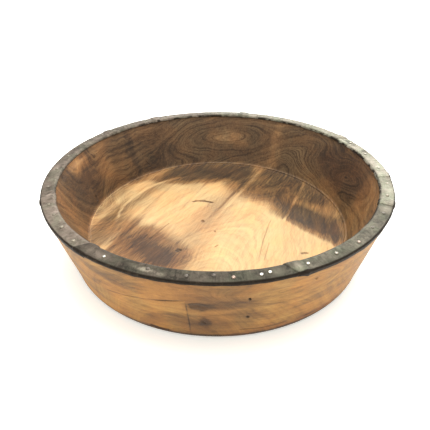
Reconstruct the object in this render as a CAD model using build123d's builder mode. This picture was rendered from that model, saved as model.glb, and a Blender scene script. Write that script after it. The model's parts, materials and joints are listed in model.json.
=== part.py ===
from build123d import *
import math
import os

# A shallow carved wooden bowl. The body is one piece of hardwood with sloping sides, a flat base and a
# dished floor. Its rim is capped with nine folded strips of zinc sheet, laid end over end around the
# rim and held with small domed tacks.
#
# Millimetres. +Z is up, and the origin is the centre of the base, on the surface it stands on.
# Angles go round +Z from +X, and the front of the bowl is towards -Y.

# Overall size, over the zinc and before its corners are rounded
bowl_diameter = 401.0
bowl_height = 93.0  # to the outer edge of the rim
rim_width = 16.5  # across the top of the rim
rim_rise = 1.5  # the inner edge of the rim stands this much above the outer edge

# Wooden body
base_radius = 172.3  # where the outer wall would meet the standing surface
base_edge_radius = 5.0
rim_outer_corner = 1.6
rim_inner_corner = 2.0
floor_ring_radius = 156.4  # foot of the inner wall
floor_ring_height = 29.0
ledge_width = 2.2  # narrow ledge at the foot of the inner wall
ledge_drop = 1.2
floor_height = 25.5  # wood left under the middle of the floor
flat_floor_radius = 118.0

# Zinc sheet
sheet = 0.8
lay_gap = 0.05  # between the sheet and what it lies on
inner_lip = 2.8  # turned down over the inside of the wall
lap_length = 10.5  # each strip lies over the end of the one before it
joggle_length = 4.0  # where a lapping end steps down to the wood
hidden_end_gap = 0.8  # from the end of the strip below to that step

# Tacks
tack_shank_radius = 0.9
tack_length = 14.0
tack_point = 3.0
tack_head_radius = 1.9
tack_head_height = 0.8
tack_head_edge = 0.25  # height of the head's upright edge, below its dome
tack_clearance = 0.02
hole_slack = 0.5  # a tack's hole is this much deeper than the tack

# Round the rim: the angle where a strip begins, how far it is turned down over the outside,
# and its tacks, each as an angle and a distance in from the rim's outer edge
strips = {
    "right_rear": (356.0, 5.0, [(3.0, 8.4), (14.5, 9.0), (25.0, 7.6)]),
    "rear_right": (30.0, 4.6, [(37.0, 8.0), (46.5, 9.2), (55.0, 8.2), (61.5, 9.6), (71.5, 8.0)]),
    "rear": (76.0, 5.4, [(82.5, 8.8), (92.0, 7.4), (101.0, 9.0), (112.5, 8.2)]),
    "rear_left": (116.0, 4.8, [(121.5, 7.8), (133.0, 9.0)]),
    "left": (138.0, 5.2, [(144.5, 8.2), (155.0, 9.4), (166.0, 7.6), (177.0, 8.8), (190.0, 8.0)]),
    "front_left": (196.0, 5.8, [(202.0, 8.6), (209.0, 10.0), (217.0, 9.2), (225.5, 6.6)]),
    "front": (
        229.0,
        3.0,
        [(238.0, 7.8), (251.5, 9.0), (262.0, 7.4), (269.0, 9.6), (274.0, 6.8), (281.2, 7.2), (283.6, 8.4)],
    ),
    "front_right": (289.5, 5.0, [(294.5, 8.4), (304.0, 8.0), (313.0, 6.4), (322.0, 8.6), (331.5, 7.8)]),
    "right": (337.0, 5.2, [(343.0, 8.8), (351.5, 7.6)]),
}

# Worked out from the sizes above
rim_radius = bowl_diameter / 2
cover = sheet + lay_gap
wood_rim_outer = (rim_radius - cover, bowl_height - cover)
wood_rim_inner = (rim_radius - rim_width + cover, bowl_height + rim_rise - cover)
wall_foot = (floor_ring_radius, floor_ring_height)
wall_base = (base_radius, 0)
rim_slope = math.degrees(math.atan2(rim_rise, rim_width - 2 * cover))
lap, joggle, end_gap = (
    math.degrees(length / rim_radius) for length in (lap_length, joggle_length, hidden_end_gap)
)


def along(start, end, length):
    """Point at a length from start towards end."""
    share = length / math.dist(start, end)
    return tuple(a + share * (b - a) for a, b in zip(start, end))


def radial_plane(angle):
    """Upright plane through +Z whose x runs outwards at the angle and whose y runs up."""
    return Plane.XZ.rotated((0, 0, angle))


def rim_plane(angle, inset):
    """Plane on the zinc's upper face, square to it, at an inset from the rim's outer edge."""
    slope = math.radians(rim_slope)
    radius = rim_radius - inset
    wood_height = wood_rim_outer[1] + (wood_rim_outer[0] - radius) * math.tan(slope)
    seat = radial_plane(angle).from_local_coords((radius, wood_height + cover / math.cos(slope), 0))
    return Plane(seat).rotated((0, rim_slope, 0)).rotated((0, 0, angle))


def channel_section(angle, lip, lift):
    """Folded section of a strip at an angle, standing off the wood by lift."""
    with BuildSketch(radial_plane(angle)) as section:
        with BuildLine():
            wood = FilletPolyline(
                along(wood_rim_inner, wall_foot, inner_lip),
                wood_rim_inner,
                wood_rim_outer,
                along(wood_rim_outer, wall_base, lip),
                radius=[rim_inner_corner, rim_outer_corner],
                mode=Mode.PRIVATE,
            )
            under, over = (
                offset(wood, amount, side=Side.LEFT, closed=False, mode=Mode.PRIVATE)
                for amount in (lift, lift + sheet)
            )
            add([under, over])
            Line(under @ 0, over @ 0)
            Line(under @ 1, over @ 1)
        make_face()
    return section.sketch


def make_body(tacks):
    """The carved bowl, with a pilot hole for each tack."""
    ledge_edge = (floor_ring_radius - ledge_width, floor_ring_height)
    ledge_foot = (ledge_edge[0], floor_ring_height - ledge_drop)
    with BuildPart() as body:
        with BuildSketch(Plane.XZ):
            with BuildLine():
                Polyline((flat_floor_radius, floor_height), (0, floor_height), (0, 0), wall_base)
                Line(wall_base, wood_rim_outer)
                Line(wood_rim_outer, wood_rim_inner)
                Polyline(wood_rim_inner, wall_foot, ledge_edge, ledge_foot)
                TangentArc((flat_floor_radius, floor_height), ledge_foot, tangent=(1, 0))
            make_face()
        revolve(axis=Axis.Z)
        circles = body.edges().filter_by(GeomType.CIRCLE)
        fillet(circles.group_by(Axis.Z)[0], base_edge_radius)
        rim_edges = circles.group_by(Axis.Z)[-2:]
        fillet(rim_edges[0], rim_outer_corner)
        fillet(rim_edges[1], rim_inner_corner)
        with Locations(*(rim_plane(angle, inset) for angle, inset in tacks)):
            Hole(tack_shank_radius + tack_clearance, depth=tack_length + hole_slack)
    return body


def make_strip(start, end, lip, tacks):
    """A folded strip: its first end lies over the strip before it, then steps down to the wood."""
    raised = 2 * lay_gap + sheet
    seated = start + lap + joggle
    lapping, stepping_down, lying = (
        channel_section(angle, lip, lift)
        for angle, lift in ((start, raised), (start + lap, raised), (seated, lay_gap))
    )
    with BuildPart() as strip:
        revolve(lapping, axis=Axis.Z, revolution_arc=lap)
        loft([stepping_down, lying], ruled=True)
        revolve(lying, axis=Axis.Z, revolution_arc=end + lap - end_gap - seated)
        with Locations(*(rim_plane(angle, inset) for angle, inset in tacks)):
            Hole(tack_shank_radius + tack_clearance, depth=sheet + 2 * hole_slack)
    return strip


def make_tacks(tacks):
    """Domed tacks, driven in square to the rim."""
    dome = tack_head_height - tack_head_edge
    dome_radius = (tack_head_radius**2 + dome**2) / (2 * dome)
    with BuildPart() as tack:
        with BuildSketch(Plane.XZ):
            with BuildLine():
                Polyline(
                    (0, tack_head_height),
                    (0, -tack_length),
                    (tack_shank_radius, tack_point - tack_length),
                    (tack_shank_radius, 0),
                    (tack_head_radius, 0),
                    (tack_head_radius, tack_head_edge),
                )
                RadiusArc((tack_head_radius, tack_head_edge), (0, tack_head_height), -dome_radius)
            make_face()
        revolve(axis=Axis.Z)
    with BuildPart() as driven:
        with Locations(*(rim_plane(angle, inset) for angle, inset in tacks)):
            add(tack.part)
    return driven


os.makedirs("parts", exist_ok=True)
names = list(strips)
all_tacks = [tack for start, lip, tacks in strips.values() for tack in tacks]

bowl_body = make_body(all_tacks)
bowl_body.part.label = "bowl_body"
export_step(bowl_body.part, "parts/bowl_body.step")

for name, following in zip(names, names[1:] + names[:1]):
    start, lip, tacks = strips[name]
    end = strips[following][0]
    if end < start:
        end += 360
    strip = make_strip(start, end, lip, tacks)
    strip.part.label = f"rim_strip_{name}"
    export_step(strip.part, f"parts/rim_strip_{name}.step")
    driven = make_tacks(tacks)
    driven.part.label = f"rim_tacks_{name}"
    export_step(driven.part, f"parts/rim_tacks_{name}.step")
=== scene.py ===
import json
import math
import random

import bmesh
import bpy
from mathutils import Matrix, Vector, noise

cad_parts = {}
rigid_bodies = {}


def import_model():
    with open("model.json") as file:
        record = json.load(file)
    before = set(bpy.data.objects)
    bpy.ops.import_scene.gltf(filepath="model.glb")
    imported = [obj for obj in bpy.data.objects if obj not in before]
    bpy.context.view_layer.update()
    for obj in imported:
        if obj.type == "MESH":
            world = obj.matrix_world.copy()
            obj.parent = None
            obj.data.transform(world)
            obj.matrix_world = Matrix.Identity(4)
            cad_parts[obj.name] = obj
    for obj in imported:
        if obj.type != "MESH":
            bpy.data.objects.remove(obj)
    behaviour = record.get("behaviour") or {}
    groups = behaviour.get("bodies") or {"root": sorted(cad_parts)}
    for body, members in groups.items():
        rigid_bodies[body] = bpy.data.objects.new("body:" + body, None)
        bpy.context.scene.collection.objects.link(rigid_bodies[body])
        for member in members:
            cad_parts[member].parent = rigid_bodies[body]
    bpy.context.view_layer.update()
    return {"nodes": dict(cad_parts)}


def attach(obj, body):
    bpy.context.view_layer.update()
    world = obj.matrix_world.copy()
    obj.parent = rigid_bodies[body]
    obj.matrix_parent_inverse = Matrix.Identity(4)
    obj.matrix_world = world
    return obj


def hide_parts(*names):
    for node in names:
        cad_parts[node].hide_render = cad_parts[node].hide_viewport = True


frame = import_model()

random.seed(41)


def polar(angle, radius, height=0.0):
    turn = math.radians(angle)
    return Vector((radius * math.cos(turn), radius * math.sin(turn), height))


def angleOf(place):
    return math.degrees(math.atan2(place.y, place.x)) % 360


def smooth(value, low, high):  # 0 at low, 1 at high, easing at both ends
    share = min(1.0, max(0.0, (value - low) / (high - low)))
    return share * share * (3 - 2 * share)


def grain(place, size, seed=0.0):  # smooth noise from -1 to 1, size in metres
    return noise.noise(place / size + Vector((seed, 7.3 * seed, -3.1 * seed)))


def startSection(points):
    bm = bmesh.new()
    verts = [bm.verts.new((radius, 0, height)) for radius, height in points]
    for first, second in zip(verts, verts[1:]):
        bm.edges.new((first, second))
    return bm, verts


def roundCorner(bm, vert, size, segments):
    bmesh.ops.bevel(bm, geom=[vert], offset=size, segments=segments, profile=0.5,
                    affect="VERTICES", material=-1)


def divideLongEdges(bm, spacing, edges=None):
    for edge in edges or list(bm.edges):
        cuts = int(edge.calc_length() / spacing)
        if cuts:
            bmesh.ops.subdivide_edges(bm, edges=[edge], cuts=cuts)


def spinRound(bm, turn, columns, whole=False):
    bmesh.ops.spin(bm, geom=bm.verts[:] + bm.edges[:], cent=(0, 0, 0), axis=(0, 0, 1), angle=turn,
                   steps=columns, use_merge=whole)


def meshPiece(name, bm, material, node):
    mesh = bpy.data.meshes.new(name)
    for face in bm.faces:
        face.smooth = True
    bm.to_mesh(mesh)
    bm.free()
    piece = bpy.data.objects.new(name, mesh)
    bpy.context.scene.collection.objects.link(piece)
    mesh.materials.append(material)
    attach(piece, "root")
    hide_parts(node)


# Shader helpers: each takes the node tree, and sockets or plain values
def addNode(tree, kind, values=None, **settings):
    made = tree.nodes.new("ShaderNode" + kind)
    for name, setting in settings.items():
        setattr(made, name, setting)
    for key, value in (values or {}).items():
        if isinstance(value, bpy.types.NodeSocket):
            tree.links.new(value, made.inputs[key])
        else:
            made.inputs[key].default_value = value
    return made


def calc(tree, operation, first, second=0.0, third=0.0, clamp=False):
    values = {0: first, 1: second, 2: third}
    return addNode(tree, "Math", values, operation=operation, use_clamp=clamp).outputs[0]


def hypotenuse(tree, first, second):
    squares = calc(tree, "ADD", calc(tree, "POWER", first, 2), calc(tree, "POWER", second, 2))
    return calc(tree, "SQRT", squares)


def push(tree, total, share, weight):  # up where the share is over a half, and down where it is under
    return calc(tree, "MULTIPLY_ADD", calc(tree, "SUBTRACT", share, 0.5), weight, total)


def ease(tree, value, low, high, start=0.0, end=1.0):
    values = {"Value": value, "From Min": low, "From Max": high, "To Min": start, "To Max": end}
    return addNode(tree, "MapRange", values, interpolation_type="SMOOTHSTEP").outputs["Result"]


def closeTo(tree, value, middle, low, high, most=1.0):  # most within low of the middle, and 0 beyond high
    return ease(tree, calc(tree, "ABSOLUTE", calc(tree, "SUBTRACT", value, middle)), low, high, most, 0.0)


def cloud(tree, place, scale, detail=3.0, roughness=0.55, distortion=0.0):
    values = {"Vector": place, "Scale": scale, "Detail": detail, "Roughness": roughness,
              "Distortion": distortion}
    return addNode(tree, "TexNoise", values).outputs["Fac"]


def lineNoise(tree, value, scale, detail=2.0, roughness=0.6):
    values = {"W": value, "Scale": scale, "Detail": detail, "Roughness": roughness}
    return addNode(tree, "TexNoise", values, noise_dimensions="1D").outputs["Fac"]


def vectorCalc(tree, operation, first, second=(0, 0, 0), output="Vector"):
    return addNode(tree, "VectorMath", {0: first, 1: second}, operation=operation).outputs[output]


def scaled(tree, place, amount):
    return addNode(tree, "VectorMath", {0: place, "Scale": amount}, operation="SCALE").outputs["Vector"]


def surfacePlace(tree):  # in millimetres
    return scaled(tree, addNode(tree, "TexCoord").outputs["Object"], 1000.0)


def flatPlace(tree, across, acrossScale, up, upScale):
    values = {0: calc(tree, "MULTIPLY", across, acrossScale), 1: calc(tree, "MULTIPLY", up, upScale)}
    return addNode(tree, "CombineXYZ", values).outputs[0]


def stretch(tree, place, scale, turn=(0, 0, 0)):
    return addNode(tree, "Mapping", {"Vector": place, "Scale": scale, "Rotation": turn}).outputs[0]


def within(tree, place, centre, turn, reach):  # 0 at the centre of an ellipsoid, 1 on its surface
    values = {"Vector": place, "Location": centre, "Rotation": turn, "Scale": reach}
    local = addNode(tree, "Mapping", values, vector_type="TEXTURE").outputs[0]
    return vectorCalc(tree, "LENGTH", local, output="Value")


def mix(tree, share, first, second):
    return addNode(tree, "Mix", {"Factor": share, "A": first, "B": second}).outputs[0]


def blend(tree, share, first, second, how="MIX"):
    made = addNode(tree, "Mix", {"Factor": share}, data_type="RGBA", blend_type=how)
    colours = [socket for socket in made.inputs if socket.type == "RGBA"]
    for socket, value in zip(colours, (first, second)):
        if isinstance(value, bpy.types.NodeSocket):
            tree.links.new(value, socket)
        else:
            socket.default_value = (*value, 1) if len(value) == 3 else value
    return [socket for socket in made.outputs if socket.type == "RGBA"][0]


def tinted(tree, share, colour, tint):
    return blend(tree, share, colour, tint, "MULTIPLY")


def ramp(tree, value, stops):
    made = addNode(tree, "ValToRGB", {"Fac": value})
    made.color_ramp.elements.remove(made.color_ramp.elements[1])
    for index, (place, colour) in enumerate(stops):
        stop = made.color_ramp.elements[0] if index == 0 else made.color_ramp.elements.new(place)
        stop.position = place
        stop.color = (*colour, 1)
    return made.outputs["Color"]


def newMaterial(name):
    material = bpy.data.materials.new(name)
    material.use_nodes = True
    tree = material.node_tree
    shader = tree.nodes["Principled BSDF"]
    return material, tree, shader


# The camera stands in front of the bowl and looks down into it
camera = {
    "standsBack": 0.525,
    "height": 0.365,
    "turn": (57.79, 0.32, 0.11),
    "lens": 42.1,
}


def placeCamera():
    data = bpy.data.cameras.new("camera")
    data.lens = camera["lens"]
    data.clip_start = 0.01
    thing = bpy.data.objects.new("camera", data)
    thing.location = (0, -camera["standsBack"], camera["height"])
    thing.rotation_euler = [math.radians(angle) for angle in camera["turn"]]
    bpy.context.scene.collection.objects.link(thing)
    bpy.context.scene.camera = thing


placeCamera()
print("camera placed")

# Wood: growth rings round the pith, drawn into closed eyes where the figure has them.
# Lengths in the wood's material are millimetres.
wood = {
    "grainTurn": 66,  # the grain runs this way across the floor
    "pithOffset": 33,  # the pith passes this far beside the middle of the bowl
    "pithHeight": -15,  # and at this height
    "taper": 0.3,  # the rings narrow along the grain
    "ringGap": 5.5,
    "wander": 26,  # the figure and the edges of the stains wander by up to about half of this
    "innerWall": (143.6, 0.44),  # its radius at the height of the table, and how that grows with height
    "outerWall": (172.3, 0.297),
    "midWall": 152.0,  # between the two walls, at the height of the table
    "floorTop": 26,
    "floorEdge": 155.6,
    "wallStainDepth": 24,
    "floorStainDepth": 60,
    # angle, radius, height, then reach round the bowl, through the wall and up the wall, growth, lean
    "eyes": [
        (84, 171, 63, 98, 60, 26, 42, -8),
        (14, 171, 64, 84, 60, 23, 42, -10),
        (291, 192, 70, 64, 22, 15, 20, 0),
        (52, 137, 27, 20, 52, 20, 26, 0),
        (170, 168, 135, 50, 60, 110, 60, 0),
    ],
    # Stains on the floor: where, the way it runs, reach along and across, softness, darkening, purple
    "floorStains": [
        (10, 126, 2, 66, 16, 0.70, 0.22, 0.0),
        (92, 90, 66, 40, 16, 0.80, 0.12, 0.0),
        (70, 52, 70, 34, 7, 0.90, -0.16, 0.0),
        (112, -8, -62, 40, 16, 0.90, 0.56, 0.1),
        (131, 26, -38, 26, 9, 0.80, -0.30, 0.0),
        (-86, -50, -56, 46, 27, 0.90, 0.86, 0.5),
        (-68, -70, -52, 18, 9, 0.90, 0.30, 0.0),
        (-62, -80, 50, 26, 20, 0.90, 0.34, 0.3),
        (-30, -84, 62, 34, 18, 0.90, 0.18, 0.0),
        (-88, 116, 60, 60, 10, 0.70, -0.24, 0.0),
        (-8, 12, 64, 100, 21, 0.80, 0.24, 0.2),
        (96, -54, -42, 64, 32, 0.60, -0.62, 0.0),
        (-82, 40, 70, 62, 26, 0.45, -0.16, 0.0),
        (57, 128, 66, 28, 8, 0.80, -0.45, 0.0),
        (-118, 62, 62, 70, 9, 0.60, -0.22, 0.0),
        (-138, -8, 74, 60, 7, 0.60, 0.24, 0.0),
        (-128, -52, 70, 40, 5, 0.60, -0.24, 0.0),
        (-104, -12, 66, 66, 3, 0.70, 0.24, 0.3),
        (-92, 28, 66, 70, 2.5, 0.70, 0.20, 0.1),
        (-70, 10, 65, 90, 2.5, 0.70, 0.14, 0.3),
        (140, -30, 80, 26, 4, 0.60, 0.55, 0.6),
        (100, 42, 67.5, 62, 1.8, 0.80, -0.42, 0.0),
        (37, 82, 63, 60, 1.8, 0.80, -0.26, 0.0),
        (31, 86, 62, 60, 1.8, 0.90, 0.16, 0.1),
        (14, 52, 63, 70, 1.3, 0.80, 0.10, 0.2),
        (122, 34, 68, 30, 14, 0.80, 0.14, 0.0),
        (-30, 66, 66, 50, 1.6, 0.70, 0.14, 0.2),
    ],
    # Stains on the walls: angle, height, reach round the bowl and up, softness, darkening, purple
    "innerStains": [
        (84, 63, 24, 8, 0.7, -0.32, 0.0),
        (84, 63, 58, 20, 0.35, 0.05, 0.0),
        (121, 50, 26, 36, 0.7, 0.16, 0.0),
        (116, 44, 9, 12, 0.8, 0.14, 0.0),
        (16, 64, 66, 25, 0.6, 0.24, 0.7),
        (60, 55, 7, 44, 0.6, -0.20, 0.0),
        # These two lighter patches high on the back left are painted light falling on the wall
        (166, 84, 16, 9, 0.8, -0.50, 0.0),
        (152, 70, 14, 26, 0.6, -0.20, 0.0),
        (172, 55, 40, 28, 0.9, 0.16, 0.2),
        (135, 60, 5, 40, 0.6, 0.16, 0.2),
        (193, 62, 22, 50, 0.6, -0.16, 0.0),
        (350, 62, 42, 40, 0.6, -0.20, 0.0),
        (84.7, 40, 66, 8, 0.8, 0.04, 0.1),
        (30, 34, 40, 8, 0.8, -0.14, 0.0),
    ],
    "outerStains": [
        (264.6, 55, 11, 7, 0.9, 0.52, 0.1),
        (266, 28.5, 5, 5, 0.9, 0.34, 0.3),
        (268, 34, 40, 48, 0.7, 0.56, 0.0),
        (236, 40, 44, 44, 0.7, 0.14, 0.0),
        # The wide entries at heights 72 to 84 (233, 280 and 238 degrees) lie under the zinc lip: painted
        # shade from the lip together with dirt
        (233, 76, 36, 14, 0.8, 0.22, 0.0),
        (280, 84, 70, 8, 0.8, 0.26, 0.0),
        (250.5, 7, 17, 4, 0.6, 0.40, 0.6),
        (296, 8, 76, 7, 0.5, 0.34, 0.7),
        (297.3, 75, 5, 5, 0.6, 0.16, 0.1),
        (272, 62, 28, 12, 0.7, 0.12, 0.2),
        (238, 72, 40, 12, 0.6, 0.10, 0.0),
        (120, 30, 60, 16, 0.6, 0.20, 0.3),
        (30, 60, 50, 14, 0.6, 0.18, 0.2),
        (182, 44, 30, 22, 0.7, -0.10, 0.0),
    ],
    # Where the worn middle of the floor ends: a point of the edge, the way the dark side lies,
    # softness, darkening
    "darkSides": [
        (-15, 102, 95, 16, 0.84),
        (84, 14, 39, 23, 0.78),
        (-94, 33, 152, 20, 0.40),
    ],
    "seam": (261.2, 62.4, 0.74),  # angle of an upright seam, its top, and the slope of the line to it
    "worn": [(0.05, (0.42, 0.24, 0.100)), (0.42, (0.56, 0.357, 0.158)),
             (0.75, (0.63, 0.428, 0.192)), (1.0, (0.69, 0.50, 0.25))],
    "middle": [(0.05, (0.09, 0.043, 0.015)), (0.42, (0.22, 0.115, 0.042)),
               (0.75, (0.34, 0.19, 0.070)), (1.0, (0.48, 0.29, 0.12))],
    "dark": [(0.05, (0.022, 0.012, 0.005)), (0.42, (0.067, 0.037, 0.0155)),
             (0.75, (0.125, 0.070, 0.030)), (1.0, (0.22, 0.13, 0.057))],
    "outside": [(0.05, (0.14, 0.061, 0.014)), (0.42, (0.330, 0.161, 0.040)),
                (0.75, (0.470, 0.250, 0.070)), (1.0, (0.61, 0.362, 0.126))],
}


def wander(tree, place, scale, detail, roughness):
    values = {"Vector": place, "Scale": scale, "Detail": detail, "Roughness": roughness}
    drift = addNode(tree, "TexNoise", values).outputs["Color"]
    drift = vectorCalc(tree, "SUBTRACT", drift, (0.5, 0.5, 0.5))
    return vectorCalc(tree, "ADD", place, scaled(tree, drift, wood["wander"]))


def growthField(tree, place):  # counts outwards through the growth rings
    swayed = wander(tree, place, 0.011, 3.0, 0.5)
    grainTurn = math.radians(wood["grainTurn"])
    grainPlace = stretch(tree, swayed, (1, 1, 1), (0, 0, -grainTurn))
    along, across, up = addNode(tree, "SeparateXYZ", {0: grainPlace}).outputs
    across = calc(tree, "ADD", across, wood["pithOffset"])
    up = calc(tree, "SUBTRACT", up, wood["pithHeight"])
    field = calc(tree, "MULTIPLY_ADD", along, wood["taper"], hypotenuse(tree, across, up))
    for angle, radius, height, wide, deep, tall, growth, lean in wood["eyes"]:
        centre = polar(angle, radius, height)
        beside = centre.x * math.sin(grainTurn) - centre.y * math.cos(grainTurn) - wood["pithOffset"]
        ahead = centre.x * math.cos(grainTurn) + centre.y * math.sin(grainTurn)
        base = math.hypot(beside, height - wood["pithHeight"]) + wood["taper"] * ahead
        turn = (0, math.radians(lean), math.radians(angle - 90))
        reach = within(tree, swayed, centre, turn, (wide, deep, tall))
        rings = calc(tree, "MULTIPLY_ADD", reach, growth, base - 0.8 * growth)
        field = mix(tree, ease(tree, reach, 0.55, 1.5, 1.0, 0.0), field, rings)
    return field, grainPlace


def layStains(tree, place, stains, darkness):
    purple = 0.0
    for centre, turn, reach, soft, strength, tint in stains:
        far = within(tree, place, centre, (0, 0, math.radians(turn)), reach)
        share = ease(tree, far, 1 - soft, 1 + soft, 1.0, 0.0)
        darkness = calc(tree, "MULTIPLY_ADD", share, strength, darkness)
        if tint:
            purple = calc(tree, "MULTIPLY_ADD", share, tint, purple)
    return darkness, purple


def floorStains():
    for x, y, turn, along, across, soft, strength, tint in wood["floorStains"]:
        reach = (along, across, wood["floorStainDepth"])
        yield (x, y, wood["floorTop"]), turn, reach, soft, strength, tint


def wallStains(stains, wall):
    foot, slope = wall
    for angle, height, wide, tall, soft, strength, tint in stains:
        reach = (wide, wood["wallStainDepth"], tall)
        yield polar(angle, foot + slope * height, height), angle - 90, reach, soft, strength, tint


def woodMaterial():
    material, tree, shader = newMaterial("carvedWood")
    place = surfacePlace(tree)
    field, grainPlace = growthField(tree, place)
    x, y, z = addNode(tree, "SeparateXYZ", {0: place}).outputs
    radius = hypotenuse(tree, x, y)
    angle = calc(tree, "DEGREES", calc(tree, "ARCTAN2", y, x))
    dirt = addNode(tree, "Attribute", attribute_name="dirt").outputs["Fac"]

    wobble = cloud(tree, place, 0.14, 4, 0.6)
    field = calc(tree, "MULTIPLY_ADD", wobble, 4.5, field)
    broad = lineNoise(tree, field, 0.07, 2)
    fine = lineNoise(tree, field, 0.6, 3, 0.7)
    beat = calc(tree, "MULTIPLY_ADD", broad, 1.6, calc(tree, "DIVIDE", field, wood["ringGap"]))
    beat = calc(tree, "FRACT", beat)
    late = calc(tree, "MULTIPLY", ease(tree, beat, 0.35, 0.88), ease(tree, beat, 0.90, 1.0, 1.0, 0.0))
    late = calc(tree, "MULTIPLY", late, ease(tree, cloud(tree, place, 0.03, 2), 0.30, 0.66))
    # Which surface this is
    midWall = calc(tree, "MULTIPLY_ADD", z, wood["innerWall"][1], wood["midWall"])
    insideShare = calc(tree, "LESS_THAN", radius, midWall)
    insideShare = calc(tree, "MULTIPLY", insideShare, calc(tree, "GREATER_THAN", z, 14.0))
    outsideShare = calc(tree, "SUBTRACT", 1.0, insideShare)
    floorEdge = wood["floorEdge"]
    floorShare = ease(tree, radius, floorEdge - 0.8, floorEdge + 0.2, 1.0, 0.0)
    floorShare = calc(tree, "MULTIPLY", floorShare, insideShare)
    wallShare = calc(tree, "SUBTRACT", insideShare, floorShare)
    fibre = cloud(tree, stretch(tree, grainPlace, (0.014, 0.42, 0.42)), 1.0, 4, 0.68)
    fineFibre = cloud(tree, stretch(tree, grainPlace, (0.05, 1.7, 1.7)), 1.0, 3, 0.6)
    pores = ease(tree, cloud(tree, stretch(tree, grainPlace, (0.16, 2.1, 2.1)), 1.0, 1), 0.66, 0.74)
    smoky = cloud(tree, place, 0.022, 4, 0.62, 0.6)

    # Light and dark of the figure: each share, and its weight inside and outside the bowl
    tone = calc(tree, "MULTIPLY_ADD", broad, 0.6, 0.10)
    weights = [(smoky, 0.6, 0.5), (fine, 0.25, 0.2), (fibre, 0.85, 0.3), (fineFibre, 0.35, 0.2)]
    for share, inWeight, outWeight in weights:
        weight = calc(tree, "MULTIPLY_ADD", insideShare, inWeight - outWeight, outWeight)
        tone = push(tree, tone, share, weight)
    # Long lines that follow the rings, light and dark
    alongGrain = addNode(tree, "SeparateXYZ", {0: grainPlace}).outputs[0]
    lines = cloud(tree, flatPlace(tree, alongGrain, 0.006, field, 0.16), 1.0, 3, 0.55)
    for level, weight in ((0.50, -0.15), (0.545, 0.15), (0.44, -0.13), (0.61, 0.13)):
        line = closeTo(tree, lines, level, 0.0, 0.02, weight)
        tone = calc(tree, "MULTIPLY_ADD", line, insideShare, tone)
    # The outside shows bands that lie along the wall
    bands = cloud(tree, stretch(tree, place, (0.014, 0.014, 0.085)), 1.0, 5, 0.62, 0.8)
    bands = calc(tree, "MULTIPLY", calc(tree, "SUBTRACT", bands, 0.5), outsideShare)
    tone = calc(tree, "MULTIPLY_ADD", bands, 1.1, tone)
    lateWeight = calc(tree, "MULTIPLY_ADD", wallShare, -0.16, -0.10)
    tone = calc(tree, "MULTIPLY_ADD", late, lateWeight, tone)
    tone = calc(tree, "MULTIPLY_ADD", pores, -0.14, tone, clamp=True)

    # The floor: patina round a worn middle, its edges feathered out along the grain
    streaks = cloud(tree, flatPlace(tree, alongGrain, 0.008, field, 0.30), 1.0, 3, 0.6)
    slide = calc(tree, "MULTIPLY", calc(tree, "SUBTRACT", streaks, 0.5), 4.0)
    slid = vectorCalc(tree, "ADD", place, scaled(tree, tuple(polar(wood["grainTurn"], 1)), slide))
    slidRadius = vectorCalc(tree, "LENGTH", vectorCalc(tree, "MULTIPLY", slid, (1, 1, 0)), output="Value")
    floorDark = ease(tree, slidRadius, 110, 146, 0.0, 0.34)
    for sideX, sideY, facing, soft, strength in wood["darkSides"]:
        way = polar(facing, 1)
        past = vectorCalc(tree, "DOT_PRODUCT", slid, tuple(way), "Value")
        past = calc(tree, "SUBTRACT", past, way.x * sideX + way.y * sideY + 11.0)
        past = calc(tree, "MULTIPLY_ADD", smoky, 22.0, past)
        floorDark = calc(tree, "MAXIMUM", floorDark, ease(tree, past, -soft, soft, 0.0, strength))
    floorDark, floorPurple = layStains(tree, slid, floorStains(), floorDark)
    # A painted highlight lightens the floor along the ridge round its back left
    ridge = closeTo(tree, calc(tree, "MULTIPLY_ADD", smoky, 8.0, radius), 131.0, 0.5, 3.5)
    ridge = calc(tree, "MULTIPLY", ridge, ease(tree, x, -40.0, -62.0))
    ridge = calc(tree, "MULTIPLY", ridge, ease(tree, y, 2.0, 14.0))
    floorDark = calc(tree, "MULTIPLY_ADD", ridge, -0.30, floorDark)
    floorDark = push(tree, floorDark, fibre, ease(tree, floorDark, 0.05, 0.6, 0.0, -0.45))
    floorDark = push(tree, floorDark, streaks, ease(tree, floorDark, 0.10, 0.7, 0.0, 0.5))

    # The walls: the outside has painted shade along its foot, painted shade with dirt in a line under the
    # zinc, and a lighter piece beside an upright seam
    drifted = wander(tree, place, 0.035, 4.0, 0.62)
    wallDark = push(tree, 0.76, smoky, 0.35)
    wallDark, wallPurple = layStains(tree, drifted, wallStains(wood["innerStains"], wood["innerWall"]),
                                     wallDark)
    outerDark = push(tree, 0.06, cloud(tree, place, 0.018, 3, 0.5, 0.4), 0.7)
    outerDark = calc(tree, "MULTIPLY_ADD", bands, -0.45, outerDark)
    outerDark, outerPurple = layStains(tree, drifted, wallStains(wood["outerStains"], wood["outerWall"]),
                                       outerDark)
    # Painted shade along the rounded foot of the outer wall
    foot = ease(tree, calc(tree, "MULTIPLY_ADD", smoky, 6.0, z), 6.5, 11.5, 1.0, 0.0)
    outerDark = calc(tree, "ADD", outerDark, foot)
    # Painted shade under the overhanging zinc lip, together with dirt
    underZinc = ease(tree, calc(tree, "MULTIPLY_ADD", smoky, -10.0, z), 74.0, 87.0, 0.0, 0.32)
    outerDark = calc(tree, "ADD", outerDark, underZinc)
    seamAngle, seamTop, fall = wood["seam"]
    beyondSeam = calc(tree, "SUBTRACT", angle, seamAngle - 360)
    lineHeight = calc(tree, "MULTIPLY_ADD", beyondSeam, fall, seamTop)
    piece = calc(tree, "MULTIPLY", calc(tree, "LESS_THAN", z, lineHeight),
                 calc(tree, "LESS_THAN", angle, seamAngle - 360))
    piece = calc(tree, "MULTIPLY", piece, ease(tree, angle, -150.0, -118.0))
    outerDark = calc(tree, "MULTIPLY_ADD", piece, -0.16, outerDark)

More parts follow.
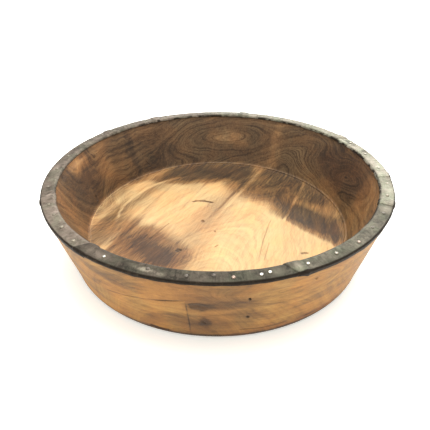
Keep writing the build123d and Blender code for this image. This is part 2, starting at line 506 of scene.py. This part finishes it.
    inDark = mix(tree, floorShare, wallDark, floorDark)
    # Painted highlight along the ledge between floor and wall, fading towards the right
    ledge = closeTo(tree, radius, floorEdge, 0.8, 2.4)
    ledge = calc(tree, "MULTIPLY", ledge, ease(tree, smoky, 0.35, 0.55))
    ledge = calc(tree, "MULTIPLY", ledge, ease(tree, x, 30.0, 90.0, 1.0, 0.1))
    inDark = calc(tree, "MULTIPLY_ADD", ledge, -0.16, inDark, clamp=True)
    inDark = calc(tree, "ADD", inDark, calc(tree, "MULTIPLY", dirt, 0.8), clamp=True)
    outerDark = calc(tree, "ADD", outerDark, calc(tree, "MULTIPLY", dirt, 0.9), clamp=True)

    worn, middle, dark, outside = (
        ramp(tree, tone, wood[name]) for name in ("worn", "middle", "dark", "outside"))
    inside = blend(tree, ease(tree, inDark, 0.0, 0.5), worn, middle)
    inside = blend(tree, ease(tree, inDark, 0.5, 1.0), inside, dark)
    outside = blend(tree, ease(tree, outerDark, 0.0, 0.6), outside, middle)
    outside = blend(tree, ease(tree, outerDark, 0.6, 1.0), outside, dark)
    colour = blend(tree, insideShare, outside, inside)
    purple = mix(tree, insideShare, outerPurple, mix(tree, floorShare, wallPurple, floorPurple))
    purple = calc(tree, "MULTIPLY", purple, 0.75, clamp=True)
    colour = tinted(tree, purple, colour, (0.98, 0.80, 0.92))
    hue = ease(tree, cloud(tree, place, 0.03, 3, 0.6), 0.36, 0.64)
    colour = tinted(tree, 1.0, colour, blend(tree, hue, (1.06, 0.98, 0.90), (0.95, 1.0, 1.02)))
    # The wall is greyer at the back and redder on the left, and the dark of the floor
    # and of the outside is warm
    backShare = calc(tree, "MULTIPLY", wallShare, ease(tree, y, 50.0, 130.0))
    colour = tinted(tree, backShare, colour, (0.97, 1.04, 1.22))
    leftShare = calc(tree, "MULTIPLY", wallShare, ease(tree, x, -80.0, -150.0))
    colour = tinted(tree, leftShare, colour, (0.95, 0.88, 0.80))
    outerWarm = calc(tree, "MULTIPLY", outsideShare, ease(tree, outerDark, 0.1, 0.5))
    colour = tinted(tree, outerWarm, colour, (0.95, 0.88, 0.70))
    floorWarm = calc(tree, "MULTIPLY", floorShare, ease(tree, inDark, 0.3, 0.8))
    colour = tinted(tree, floorWarm, colour, (0.96, 0.92, 0.80))
    tree.links.new(colour, shader.inputs["Base Color"])
    rough = calc(tree, "MULTIPLY_ADD", tone, 0.18, 0.48)
    tree.links.new(rough, shader.inputs["Roughness"])
    shader.inputs["Specular IOR Level"].default_value = 0.3

    relief = calc(tree, "MULTIPLY_ADD", fineFibre, 0.6, calc(tree, "MULTIPLY", pores, -0.8))
    relief = calc(tree, "MULTIPLY_ADD", late, 0.3, relief)
    bump = addNode(tree, "Bump", {"Strength": 0.35, "Distance": 0.0004, "Height": relief}).outputs[0]
    tree.links.new(bump, shader.inputs["Normal"])
    return material


# The carved body
bowl = {
    "columns": 480,  # of the mesh, round the bowl
    "spacing": 0.0023,  # of the mesh, along the section
    "baseRadius": 0.1723,  # where the outer wall would meet the table
    "baseRounding": 0.005,
    "rimOuter": (0.19965, 0.09215),
    "rimInner": (0.18485, 0.09365),
    "wallFoot": (0.1564, 0.029),
    "ledge": (0.0022, 0.0012),  # its width and its drop
    "floorFlat": 0.118,
    "floorHeight": 0.0255,
    "rimRounding": (0.0016, 0.002),  # of its outer and inner corners
    "ledgeRounding": (0.0006, 0.0004),
    "underZinc": 0.082,  # above this height the outer wall's waves die out
    "relief": 0.0005,  # most that the inside is carved in or out by
    "sunkRim": 0.0003,  # the rim lies this much inside the zinc
    # Marks: the points that each one follows, its half width and depth, and how dirty it is.
    # Those on the walls follow angles and heights, and those on the floor follow x and y.
    "outerMarks": [
        ([(233.5, 0.0438), (244, 0.0505), (255, 0.0585), (261, 0.0622)], 0.0009, 0.0006, 0.8),
        ([(261.2, 0.0620), (261.2, 0.0440), (261.4, 0.0240), (261.2, 0.0050)], 0.0007, 0.0003, 0.35),
        ([(262.0, 0.0540), (264.5, 0.0565), (267.2, 0.0530)], 0.0034, 0.0005, 0.3),
        ([(265.6, 0.0295), (266.3, 0.0270)], 0.0013, 0.0008, 0.5),
        ([(278.5, 0.0662), (278.7, 0.0645)], 0.0011, 0.0022, 0.9),
        ([(278.7, 0.0370), (278.9, 0.0355)], 0.0012, 0.0022, 0.9),
        ([(297.2, 0.0755), (297.5, 0.0745)], 0.0010, 0.0010, 0.6),
        ([(247, 0.0085), (251, 0.0070), (255, 0.0078)], 0.0012, 0.0005, 0.7),
        ([(276, 0.0150), (284, 0.0125), (293, 0.0135)], 0.0009, 0.0004, 0.5),
        ([(300, 0.0110), (311, 0.0090)], 0.0010, 0.0005, 0.5),
        ([(96, 0.0800), (96.6, 0.0660), (95.9, 0.0520), (96.8, 0.0400)], 0.0007, 0.0011, 1.0),
        ([(103, 0.0330), (103.8, 0.0210), (103.2, 0.0080)], 0.0006, 0.0009, 0.9),
        ([(31, 0.0340), (40, 0.0372), (49, 0.0358)], 0.0006, 0.0008, 0.9),
        ([(150, 0.0590), (150.2, 0.0575)], 0.0013, 0.0022, 1.2),
        ([(171, 0.0270), (171.2, 0.0262)], 0.0010, 0.0018, 1.2),
        ([(66, 0.0560), (66.3, 0.0548)], 0.0012, 0.0020, 1.2),
    ],
    "innerMarks": [
        ([(166.4, 0.0400), (167.0, 0.0355)], 0.0013, 0.0012, 1.1),
        ([(128.5, 0.0440), (127.6, 0.0400)], 0.0011, 0.0006, 0.6),
        ([(231, 0.0620), (238, 0.0590), (246, 0.0605)], 0.0007, 0.0005, 0.6),
        ([(322, 0.0480), (331, 0.0500)], 0.0007, 0.0005, 0.6),
    ],
    "floorMarks": [
        ([(-0.0350, 0.0470), (-0.0240, 0.0492), (-0.0150, 0.0478), (-0.0040, 0.0440)],
         0.0013, 0.0009, 0.85),
        ([(-0.0285, 0.0500), (-0.0170, 0.0498)], 0.0016, 0.0007, 0.45),
        ([(-0.0183, 0.0008), (-0.0176, -0.0010)], 0.0015, 0.0007, 0.4),
        ([(-0.0030, -0.0225), (-0.0026, -0.0240)], 0.0009, 0.0005, 0.35),
        ([(-0.0470, -0.0640), (-0.0440, -0.0600), (-0.0410, -0.0625)], 0.0020, 0.0007, 0.6),
        ([(-0.0026, -0.0545), (0.0004, -0.0510)], 0.0009, 0.0005, 0.35),
        ([(0.0935, -0.0685), (0.0985, -0.0672), (0.1035, -0.0680)], 0.0014, 0.0006, 0.55),
        ([(0.0450, -0.0820), (0.0530, -0.0450), (0.0620, -0.0120), (0.0680, 0.0050)],
         0.0007, 0.0003, 0.35),
        ([(0.0520, -0.0800), (0.0600, -0.0470)], 0.0006, 0.0003, 0.3),
        ([(0.1220, 0.0950), (0.1000, 0.0420), (0.0860, 0.0080)], 0.0010, 0.0004, 0.0),
        ([(-0.0800, -0.0380), (-0.0600, -0.0050)], 0.0007, 0.0004, 0.3),
        ([(-0.0980, -0.0560), (-0.0840, -0.0300)], 0.0007, 0.0004, 0.4),
    ],
}


def wallPlace(foot, top, angle, height):
    share = (height - foot[1]) / (top[1] - foot[1])
    return polar(angle, foot[0] + (top[0] - foot[0]) * share, height)


def markList():
    outerFoot = (bowl["baseRadius"], 0)
    marks = []
    for points, wide, deep, dirty in bowl["outerMarks"]:
        path = [wallPlace(outerFoot, bowl["rimOuter"], angle, height) for angle, height in points]
        marks.append((path, wide, deep, dirty))
    for points, wide, deep, dirty in bowl["innerMarks"]:
        path = [wallPlace(bowl["wallFoot"], bowl["rimInner"], angle, height) for angle, height in points]
        marks.append((path, wide, deep, dirty))
    for points, wide, deep, dirty in bowl["floorMarks"]:
        marks.append(([Vector((x, y, bowl["floorHeight"])) for x, y in points], wide, deep, dirty))
    return marks


def distanceTo(path, place):  # from the path, and how far along it the nearest point is, 0 to 1
    nearest, share = 1.0, 0.0
    for index, (first, second) in enumerate(zip(path, path[1:])):
        run = second - first
        along = min(1.0, max(0.0, (place - first).dot(run) / run.length_squared))
        far = (first + run * along - place).length
        if far < nearest:
            nearest, share = far, (index + along) / (len(path) - 1)
    return nearest, share


def vertsNear(bm, path, reach):
    low = [min(point[axis] for point in path) - reach for axis in range(3)]
    high = [max(point[axis] for point in path) + reach for axis in range(3)]
    inBox = [vert for vert in bm.verts
             if all(low[axis] < vert.co[axis] < high[axis] for axis in range(3))]
    return [vert for vert in inBox if distanceTo(path, vert.co)[0] < reach]


def refineAlong(bm, marks):
    for margin in (0.0034, 0.0018, 0.0009):
        edges = set()
        for path, wide, deep, dirty in marks:
            for vert in vertsNear(bm, path, wide + margin):
                edges.update(vert.link_edges)
        edges = [edge for edge in edges if edge.calc_length() > 0.0006]
        bmesh.ops.subdivide_edges(bm, edges=edges, cuts=1, use_grid_fill=True)


def bodySwell(place, normal):  # how far the carved surface stands out from the turned one, in metres
    radius, height = place.xy.length, place.z
    facing = normal.xy.dot(place.xy) / max(radius, 0.001)
    footRadius, footHeight = bowl["wallFoot"]
    if height > bowl["rimOuter"][1] - 0.012 and radius > bowl["rimInner"][0] - 0.004:
        return -bowl["sunkRim"]
    if facing > 0.5 and height > 0.004:  # outer wall: pared down here and there, never proud
        wave = grain(place, 0.055, 1) * 0.55 + grain(place, 0.021, 2) * 0.3
        wave += grain(place, 0.009, 3) * 0.12
        fade = 1 - smooth(height, bowl["underZinc"] - 0.012, bowl["underZinc"])
        pared = 0.00045 * (wave - 1) * smooth(height, 0.004, 0.012)
        return pared * fade - bowl["sunkRim"] * (1 - fade)
    if facing < -0.5 and height > footHeight + 0.0005:  # inner wall, with shallow tool facets
        facet = grain(Vector((angleOf(place) * 0.0031, 0, height)), 0.012, 4)
        wave = grain(place, 0.05, 5) * 0.4 + facet * 0.22 + grain(place, 0.01, 6) * 0.1
        return bowl["relief"] * wave * smooth(height, footHeight, footHeight + 0.008)
    if normal.z > 0.5 and radius < footRadius - bowl["ledge"][0] - 0.001:  # floor, gouged along the grain
        turned = Matrix.Rotation(-math.radians(wood["grainTurn"]), 3, "Z") @ place
        gouges = grain(Vector((turned.x * 0.16, turned.y, 0)), 0.0075, 7)
        wave = grain(place, 0.06, 8) * 0.55 + gouges * 0.20 + grain(place, 0.013, 9) * 0.12
        angle = angleOf(place)
        ridgeRadius = 0.127 + 0.002 * grain(place, 0.08, 12)
        ridge = math.exp(-((radius - ridgeRadius) / 0.0022) ** 2)
        ridge *= smooth(angle, 100, 116) * (1 - smooth(angle, 176, 190))
        return bowl["relief"] * wave + 0.00055 * ridge
    return 0.0


def carveBody():
    footRadius, footHeight = bowl["wallFoot"]
    wide, drop = bowl["ledge"]
    ledgeRadius = footRadius - wide
    flat, floorHeight = bowl["floorFlat"], bowl["floorHeight"]
    cove = []
    for step in range(1, 6):  # the floor curves up to the ledge
        share = 1 - step / 5
        rise = (footHeight - drop - floorHeight) * share * share
        cove.append((flat + (ledgeRadius - flat) * share, floorHeight + rise))
    points = [(bowl["baseRadius"], 0), bowl["rimOuter"], bowl["rimInner"], bowl["wallFoot"],
              (ledgeRadius, footHeight), (ledgeRadius, footHeight - drop), *cove, (0, floorHeight)]
    bm, verts = startSection(points)
    bm.edges.new((bm.verts.new((0, 0, 0)), verts[0]))
    sizes = (bowl["baseRounding"], *bowl["rimRounding"], *bowl["ledgeRounding"])
    for vert, size, segments in zip(verts, sizes, (6, 3, 3, 2, 2)):
        roundCorner(bm, vert, size, segments)
    baseEdges = [edge for edge in bm.edges if max(vert.co.z for vert in edge.verts) < 1e-6]
    bmesh.ops.subdivide_edges(bm, edges=baseEdges, cuts=14)
    divideLongEdges(bm, bowl["spacing"],
                    [edge for edge in bm.edges if max(vert.co.z for vert in edge.verts) > 1e-6])
    spinRound(bm, 2 * math.pi, bowl["columns"], True)
    bmesh.ops.remove_doubles(bm, verts=bm.verts[:], dist=1e-6)
    bmesh.ops.recalc_face_normals(bm, faces=bm.faces[:])
    marks = markList()
    refineAlong(bm, marks)
    bm.normal_update()
    dirt = bm.verts.layers.float.new("dirt")
    moves = [(vert, vert.normal * bodySwell(vert.co, vert.normal)) for vert in bm.verts]
    sunk = {}
    for path, halfWide, deep, dirty in marks:
        for vert in vertsNear(bm, path, halfWide * 2.2):
            far, share = distanceTo(path, vert.co)
            ends = smooth(min(share, 1 - share), -0.02, 0.16) if len(path) > 2 else 1.0
            ragged = 1 + 0.35 * grain(vert.co, 0.004, 11)
            hollow = (1 - smooth(far, 0.15 * halfWide, halfWide * ragged)) * ends
            sunk[vert] = sunk.get(vert, 0) + hollow * deep
            smudge = dirty * (1 - smooth(far, 0.3 * halfWide, 2.1 * halfWide)) * ends
            vert[dirt] = max(vert[dirt], smudge)
    inward = {vert: vert.normal.copy() for vert in sunk}
    for vert, move in moves:
        vert.co += move
    for vert, depth in sunk.items():
        vert.co -= inward[vert] * depth
    print("bowl body:", sum(len(face.verts) - 2 for face in bm.faces), "triangles")
    meshPiece("carvedBody", bm, woodMaterial(), "bowl_body")


carveBody()

# Zinc sheet, folded over the rim in strips
zinc = {
    "thickness": 0.0008,
    "inset": 0.00025,  # it is bedded this far into the wood
    "columnTurn": 0.5,  # degrees between columns of the mesh
    "spacing": 0.0011,  # of the mesh, across the rim
    "innerLip": 0.0028,  # turned down inside the bowl
    "rounding": (0.0021, 0.0017),  # of its folds, inner and outer
    "lap": 0.0105,  # each strip lies over the end of the one before it
    "step": 0.004,  # where it comes down to the wood
    "dents": 0.00022,
    "lipWave": 0.0006,
    "rimEdge": (200.5, 93),  # radius and height of the rim's outer edge, in millimetres
    # Pale scuffs and dark spots, in millimetres: angle, inset, reach along and across, how much lighter
    "scuffs": [
        (251, 8, 12, 3.2, 0.50),
        (255.5, 6, 6, 3, 0.3),
        (247, 10, 7, 3, 0.2),
        (259.5, 5, 3.5, 3, -0.3),
        (235, 8, 22, 8, 0.26),
        (285.5, 9, 7, 7, 0.24),
        (291.5, 7, 5, 9, 0.26),
        (176, 8, 11, 5, 0.3),
        (334, 8, 10, 8, 0.22),
        (348, 8, 16, 8, 0.2),
        (25, 8, 14, 6, -0.45),
        (17, 6, 8, 4, -0.35),
    ],
    # Each strip: how light its zinc is drawn, and the slant of its lapping end in degrees
    "strips": {
        "right_rear": (0.70, 0.5),
        "rear_right": (0.54, -0.8),
        "rear": (0.42, 0.6),
        "rear_left": (0.38, -0.6),
        "left": (0.38, 0.9),
        "front_left": (0.50, 1.4),
        "front": (0.15, -1.6),
        "front_right": (0.31, 1.2),
        "right": (0.58, 0.3),
    },
    "colours": [(0.0, (0.028, 0.025, 0.018)), (0.3, (0.090, 0.081, 0.061)),
                (0.6, (0.21, 0.19, 0.15)), (1.0, (0.44, 0.41, 0.35))],
    # The colours of the folds and lips: painted shade, with grime
    "lipColours": [(0.3, (0.008, 0.005, 0.003)), (0.55, (0.018, 0.012, 0.007)),
                   (0.75, (0.05, 0.036, 0.024))],
}


def zincMaterial():
    material, tree, shader = newMaterial("weatheredZinc")
    place = surfacePlace(tree)
    x, y, z = addNode(tree, "SeparateXYZ", {0: place}).outputs
    radius = hypotenuse(tree, x, y)
    tone = addNode(tree, "Attribute", attribute_name="stripLightness").outputs["Fac"]
    angle = calc(tree, "ARCTAN2", y, x)
    patches = cloud(tree, place, 0.05, 4, 0.62)
    mottle = cloud(tree, place, 0.20, 5, 0.68, 0.4)
    speckle = cloud(tree, place, 1.3, 3, 0.7)
    rubs = cloud(tree, flatPlace(tree, angle, 190.0, radius, 0.12), 0.55, 3, 0.65)
    shade = tone
    for share, weight in ((patches, 0.6), (mottle, 0.8), (speckle, 0.35), (rubs, 0.35)):
        shade = push(tree, shade, share, weight)
    rimRadius, rimHeight = zinc["rimEdge"]
    for turn, inset, long, wide, amount in zinc["scuffs"]:
        centre = polar(turn, rimRadius - inset, rimHeight)
        far = within(tree, place, centre, (0, 0, math.radians(turn - 90)), (long, wide, 9))
        far = calc(tree, "MULTIPLY_ADD", calc(tree, "ADD", rubs, mottle), 1.5, far)
        shade = calc(tree, "ADD", shade, ease(tree, far, 1.7, 2.6, amount, 0.0))
    shade = calc(tree, "ADD", shade, 0.0, clamp=True)
    colour = ramp(tree, shade, zinc["colours"])
    bloom = ease(tree, cloud(tree, place, 0.07, 3), 0.40, 0.66)
    colour = tinted(tree, bloom, colour, (0.92, 1.03, 0.96))

    # Painted shade along the folds and lips, with grime there too, more on the outside than inside
    rimTop = calc(tree, "MULTIPLY_ADD", calc(tree, "SUBTRACT", 200.0, radius), 0.1, 92.9)
    below = calc(tree, "SUBTRACT", rimTop, z)
    outerFold = calc(tree, "MULTIPLY_ADD", calc(tree, "SUBTRACT", radius, 198.0), 0.9, 0.6)
    innerFold = calc(tree, "MULTIPLY_ADD", calc(tree, "SUBTRACT", 185.2, radius), 0.7, 0.6)
    below = calc(tree, "MAXIMUM", below, calc(tree, "MAXIMUM", outerFold, innerFold))
    lip = ease(tree, push(tree, below, mottle, 3.0), 0.2, 1.6)
    edgePatches = ease(tree, cloud(tree, place, 0.09, 3, 0.6), 0.40, 0.58, 0.15, 1.0)
    # The inner edge's painted shade comes and goes in patches, and fades on the left
    innerLip = ease(tree, radius, 188.0, 190.0, edgePatches, 1.0)
    innerLip = calc(tree, "MULTIPLY", innerLip, ease(tree, x, -160.0, -90.0, 0.35, 1.0))
    lip = calc(tree, "MULTIPLY", lip, calc(tree, "MAXIMUM", ease(tree, radius, 188.0, 190.0), innerLip))
    sideHue = blend(tree, ease(tree, x, -90.0, 90.0), (1.09, 0.95, 0.93), (1.02, 0.99, 0.92))
    colour = tinted(tree, 1.0, colour, sideHue)
    colour = blend(tree, lip, colour, ramp(tree, mottle, zinc["lipColours"]))
    tree.links.new(colour, shader.inputs["Base Color"])
    shader.inputs["Specular IOR Level"].default_value = 0.1
    metal = calc(tree, "MULTIPLY_ADD", lip, -0.30, 0.35)
    tree.links.new(metal, shader.inputs["Metallic"])
    rough = calc(tree, "MULTIPLY_ADD", mottle, 0.3, 0.40)
    tree.links.new(rough, shader.inputs["Roughness"])
    relief = calc(tree, "MULTIPLY_ADD", speckle, 0.4, mottle)
    bump = addNode(tree, "Bump", {"Strength": 0.5, "Distance": 0.0005, "Height": relief}).outputs[0]
    tree.links.new(bump, shader.inputs["Normal"])
    return material


def stripSpan(node):  # where a strip starts and ends, in degrees, and how low its outer lip reaches
    places = [v.co for v in frame["nodes"][node].data.vertices]
    middle = angleOf(sum(places, Vector()) / len(places))
    turns = [(angleOf(place) - middle + 180) % 360 - 180 for place in places]
    outerLow = min(place.z for place in places if place.xy.length > bowl["rimOuter"][0] - 0.004)
    return middle + min(turns), middle + max(turns), outerLow


def towards(start, end, length):
    first, second = Vector(start), Vector(end)
    return tuple(first + (second - first).normalized() * length)


def foldStrip(name, material):
    node = "rim_strip_" + name
    tone, slant = zinc["strips"][name]
    start, end, outerLow = stripSpan(node)
    outerLip = bowl["rimOuter"][1] - outerLow
    points = [towards(bowl["rimInner"], bowl["wallFoot"], zinc["innerLip"]), bowl["rimInner"],
              bowl["rimOuter"], towards(bowl["rimOuter"], (bowl["baseRadius"], 0), outerLip)]
    bm, verts = startSection(points)
    for vert, size in zip(verts[1:3], zinc["rounding"]):
        roundCorner(bm, vert, size, 4)
    divideLongEdges(bm, zinc["spacing"])
    bmesh.ops.rotate(bm, verts=bm.verts[:], cent=(0, 0, 0),
                     matrix=Matrix.Rotation(math.radians(start), 3, "Z"))
    spinRound(bm, math.radians(end - start), round((end - start) / zinc["columnTurn"]))
    bmesh.ops.recalc_face_normals(bm, faces=bm.faces[:])
    highest = max(bm.faces, key=lambda face: face.calc_center_median().z)
    if highest.normal.z < 0:
        bmesh.ops.reverse_faces(bm, faces=bm.faces[:])
    bm.normal_update()
    rimMiddle = (bowl["rimOuter"][0] + bowl["rimInner"][0]) / 2
    moves = []
    for vert in bm.verts:
        angle = angleOf(vert.co)
        past = math.radians((angle - start) % 360) * rimMiddle
        if past > math.radians(end - start + 5) * rimMiddle:  # just behind its own beginning
            past = 0
        lift = (zinc["thickness"] + 0.0001) * (1 - smooth(past, zinc["lap"], zinc["lap"] + zinc["step"]))
        lift *= 0.5 + 0.5 * smooth(past, 0.0, 0.003)  # its end is hammered down
        place = vert.co
        dent = zinc["dents"] * (grain(place, 0.019, 3) + 0.45 * grain(place, 0.007, 5))
        radius = place.xy.length
        below = bowl["rimOuter"][1] - place.z + (bowl["rimOuter"][0] - radius) * 0.1
        lipShare = smooth(below, 0.0012, 0.0030)
        move = vert.normal * (lift + dent - zinc["inset"])
        move.z += lipShare * zinc["lipWave"] * grain(place.xy.to_3d(), 0.011, 8)
        if radius > rimMiddle:  # the corner of the lapping end is trimmed
            move.z += 0.0016 * smooth(below, 0.0020, 0.0050) * (1 - smooth(past, 0.002, 0.014))
        across = (radius - rimMiddle) / 0.008
        turn = math.radians(slant) * across * (1 - smooth(past, 0.004, 0.02))
        moves.append((vert, move, turn))
    for vert, move, turn in moves:
        vert.co = Matrix.Rotation(turn, 3, "Z") @ (vert.co + move)
    bmesh.ops.solidify(bm, geom=bm.faces[:], thickness=-zinc["thickness"])
    bm.normal_update()
    for vert, move, turn in moves:  # the lapping end is beaten thin
        past = math.radians((angleOf(vert.co) - start + 2) % 360 - 2) * rimMiddle
        vert.co -= vert.normal * zinc["thickness"] * 0.75 * (1 - smooth(past, -0.001, 0.005))
    bmesh.ops.recalc_face_normals(bm, faces=bm.faces[:])
    layer = bm.verts.layers.float.new("stripLightness")
    for vert in bm.verts:
        vert[layer] = tone
    meshPiece("zincStrip_" + name, bm, material, node)


sheetZinc = zincMaterial()
for stripName in zinc["strips"]:
    foldStrip(stripName, sheetZinc)
print("zinc strips folded")

# Tacks, each a domed head on a tapered shank
tack = {
    "headRadius": 0.0019,
    "headHeight": 0.0008,
    "headEdge": 0.00025,
    "shankRadius": 0.0009,
    "length": 0.014,
    "point": 0.003,
    "sides": 20,
    "lean": 4,  # degrees at most
    # The angle of a tack that is worn bright or rusty, and how bright and how rusty; the others are dull
    "worn": [
        (238, 0.88, 0.0),
        (281.2, 1.0, 0.0),
        (283.6, 0.94, 0.0),
        (294.5, 0.88, 0.0),
        (274, 0.74, 0.9),
        (313, 0.74, 0.7),
        (304, 0.70, 0.1),
    ],
    "colours": [(0.0, (0.028, 0.025, 0.018)), (0.3, (0.092, 0.080, 0.057)),
                (0.6, (0.23, 0.20, 0.14)), (1.0, (0.84, 0.80, 0.70))],
    "rustColours": [(0.3, (0.10, 0.035, 0.015)), (0.7, (0.45, 0.26, 0.19))],
}


def tackMaterial():
    material, tree, shader = newMaterial("tackSteel")
    place = surfacePlace(tree)
    shine = addNode(tree, "Attribute", attribute_name="shine").outputs["Fac"]
    rust = addNode(tree, "Attribute", attribute_name="rust").outputs["Fac"]
    mottle = cloud(tree, place, 0.9, 4, 0.65)
    shade = calc(tree, "ADD", push(tree, shine, mottle, 0.22), 0.0, clamp=True)
    share = calc(tree, "MULTIPLY", rust, ease(tree, mottle, 0.35, 0.6), clamp=True)
    colour = blend(tree, share, ramp(tree, shade, tack["colours"]), ramp(tree, mottle, tack["rustColours"]))
    tree.links.new(colour, shader.inputs["Base Color"])
    metal = calc(tree, "MULTIPLY_ADD", share, -0.35, ease(tree, shine, 0.5, 0.9, 0.4, 0.85), clamp=True)
    tree.links.new(metal, shader.inputs["Metallic"])
    tree.links.new(calc(tree, "MULTIPLY_ADD", shine, -0.25, 0.5), shader.inputs["Roughness"])
    bump = addNode(tree, "Bump", {"Strength": 0.4, "Distance": 0.0002, "Height": mottle}).outputs[0]
    tree.links.new(bump, shader.inputs["Normal"])
    return material


def tackPlaces(node):  # the top and the tip of each tack in a group
    bm = bmesh.new()
    bm.from_mesh(frame["nodes"][node].data)
    bmesh.ops.remove_doubles(bm, verts=bm.verts[:], dist=1e-5)
    left, found = set(bm.verts), []
    while left:
        island, edgeOut = set(), [left.pop()]
        while edgeOut:
            vert = edgeOut.pop()
            island.add(vert)
            near = {edge.other_vert(vert) for edge in vert.link_edges} & left
            left -= near
            edgeOut += near
        top = max(island, key=lambda vert: vert.co.z).co.copy()
        tip = min(island, key=lambda vert: vert.co.z).co.copy()
        found.append((top, tip))
    bm.free()
    return sorted(found, key=lambda pair: angleOf(pair[0]))


def driveTacks(name, material):
    node = "rim_tacks_" + name
    group = bmesh.new()
    shineLayer = group.verts.layers.float.new("shine")
    rustLayer = group.verts.layers.float.new("rust")
    for top, tip in tackPlaces(node):
        angle = angleOf(top)
        shine, rust = zinc["strips"][name][0] + random.uniform(0.0, 0.12), random.uniform(0.0, 0.15)
        for wornAngle, wornShine, wornRust in tack["worn"]:
            if abs(wornAngle - angle) < 1.2:
                shine, rust = wornShine, wornRust
        before = set(group.verts)
        head, edge = tack["headHeight"], tack["headEdge"]
        points = [(0, head), (tack["headRadius"] * 0.62, head * 0.78), (tack["headRadius"], edge),
                  (tack["headRadius"], 0), (tack["shankRadius"], -0.0001),
                  (tack["shankRadius"], tack["point"] - tack["length"]), (0, -tack["length"])]
        bm, verts = startSection(points)
        roundCorner(bm, verts[1], 0.0007, 3)
        roundCorner(bm, verts[2], 0.00022, 2)
        spinRound(bm, 2 * math.pi, tack["sides"], True)
        bmesh.ops.remove_doubles(bm, verts=bm.verts[:], dist=1e-6)
        bmesh.ops.recalc_face_normals(bm, faces=bm.faces[:])
        squeeze = random.uniform(0.88, 1.0)
        bmesh.ops.scale(bm, vec=(1, squeeze, 1), verts=bm.verts[:])
        for vert in bm.verts:
            if vert.co.z > 0:  # hammer marks
                vert.co.z += 0.00008 * grain(vert.co, 0.0016, angle)
        axis = (top - tip).normalized()
        lean = Matrix.Rotation(math.radians(random.uniform(-tack["lean"], tack["lean"])), 3, "X")
        lean = lean @ Matrix.Rotation(random.uniform(0, 2 * math.pi), 3, "Z")
        turn = axis.to_track_quat("Z", "Y").to_matrix() @ lean
        bmesh.ops.transform(bm, matrix=Matrix.Translation(top - axis * (head + 0.0002)) @ turn.to_4x4(),
                            verts=bm.verts[:])
        mesh = bpy.data.meshes.new("oneTack")
        bm.to_mesh(mesh)
        bm.free()
        group.from_mesh(mesh)
        bpy.data.meshes.remove(mesh)
        for vert in set(group.verts) - before:
            fromAxis = (vert.co - top).cross(axis).length / tack["headRadius"]
            highlightFalloff = 0.6 if shine > 0.65 else 0.05  # painted highlight: a bright head keeps its middle bright and its edge darker
            vert[shineLayer] = shine * (1 - highlightFalloff * smooth(fromAxis, 0.5, 1.0))
            vert[rustLayer] = rust
    meshPiece("tacks_" + name, group, material, node)


tackSteel = tackMaterial()
for stripName in zinc["strips"]:
    driveTacks(stripName, tackSteel)
print("tacks driven")


softLight = {
    "floorColour": (0.92, 0.91, 0.86, 1),
    "floorGlow": (1.0, 0.99, 0.93, 1),
    "glowStrength": 0.42,
    # name, place, width, depth, watts
    "lights": [
        ("backLight", (0.7, 1.7, 0.85), 2.2, 0.7, 30),
        ("topLight", (0.1, 0.2, 1.6), 1.4, 1.4, 30),
    ],
}


def studio():
    world = bpy.data.worlds.new("studio")
    bpy.context.scene.world = world
    world.use_nodes = True
    background = world.node_tree.nodes["Background"]
    background.inputs["Color"].default_value = (1, 1, 1, 1)
    background.inputs["Strength"].default_value = 1.0

    bm = bmesh.new()
    bmesh.ops.create_grid(bm, x_segments=4, y_segments=4, size=6)
    mesh = bpy.data.meshes.new("studioFloor")
    bm.to_mesh(mesh)
    bm.free()
    floor = bpy.data.objects.new("studioFloor", mesh)
    bpy.context.scene.collection.objects.link(floor)
    material, tree, shader = newMaterial("paleFloor")
    shader.inputs["Base Color"].default_value = softLight["floorColour"]
    shader.inputs["Emission Color"].default_value = softLight["floorGlow"]
    shader.inputs["Emission Strength"].default_value = softLight["glowStrength"]
    shader.inputs["Roughness"].default_value = 0.9
    shader.inputs["Specular IOR Level"].default_value = 0.1
    mesh.materials.append(material)

    for name, place, width, depth, watts in softLight["lights"]:
        data = bpy.data.lights.new(name, "AREA")
        data.shape = "RECTANGLE"
        data.size = width
        data.size_y = depth
        data.energy = watts
        lamp = bpy.data.objects.new(name, data)
        lamp.location = place
        lamp.rotation_euler = Vector(place).to_track_quat("Z", "Y").to_euler()
        bpy.context.scene.collection.objects.link(lamp)
    bpy.context.scene.view_settings.view_transform = "Standard"


studio()
print("studio set")
